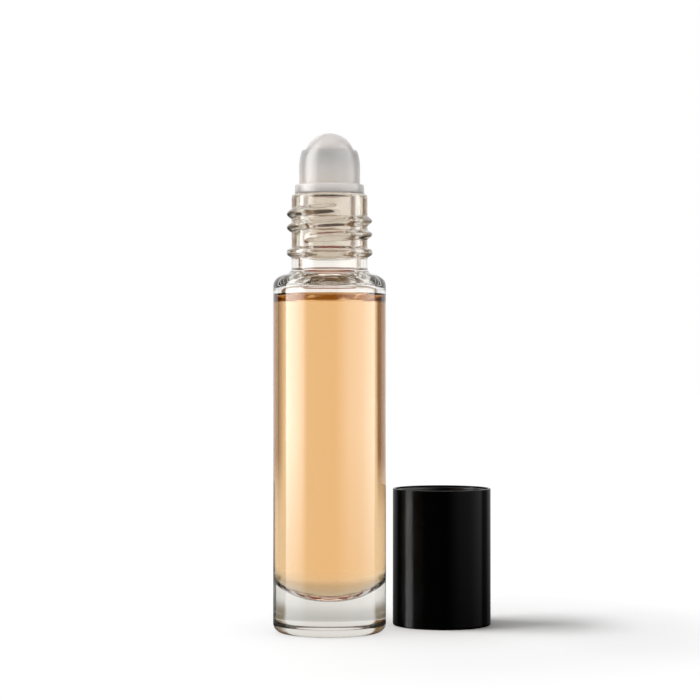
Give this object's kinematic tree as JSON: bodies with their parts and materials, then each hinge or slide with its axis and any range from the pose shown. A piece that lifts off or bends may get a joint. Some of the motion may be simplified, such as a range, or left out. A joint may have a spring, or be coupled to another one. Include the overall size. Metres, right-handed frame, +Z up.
{
  "type": "roll-on bottle",
  "caption": "Slim clear glass roll-on bottle of amber oil, with a roller ball plugged into its threaded neck and its glossy black screw cap standing open beside it.",
  "frame": {"origin": "middle of the bottle's base, on the surface that it stands on", "axes": "+Z up along the bottle's axis, -Y the front; the cap stands towards +X and +Y"},
  "size_m": [0.0392, 0.0294, 0.0883],
  "materials": {
    "clear_glass": "clear fire-polished glass",
    "amber_oil": "clear amber liquid",
    "natural_plastic": "natural translucent polyethylene, moulded smooth",
    "ball_plastic": "translucent white plastic, polished",
    "black_gloss": "glossy black",
    "black_satin": "satin black moulding",
    "liner_foam": "matt white foam"
  },
  "bodies": {
    "bottle": {"glass_bottle": "clear_glass", "perfume_oil": "amber_oil", "roller_housing": "natural_plastic"},
    "ball": {"roller_ball": "ball_plastic"},
    "liner": {"cap_liner": "liner_foam"},
    "cap": {"cap_shell": "black_gloss", "cap_insert": "black_satin"}
  },
  "joints": [
    {"name": "ball_roll", "type": "hinge", "parent": "bottle", "child": "ball", "pos_m": [0, 0, 0.08382], "axis": [1, 0, 0], "continuous": true},
    {"name": "cap_lift", "type": "slide", "parent": "bottle", "child": "liner", "axis": [0, 0, 1], "range_m": [0, 0.1]},
    {"name": "cap_turn", "type": "hinge", "parent": "liner", "child": "cap", "pos_m": [0.0203, 0.01048, 0.002], "axis": [0, 0, 1], "continuous": true}
  ]
}
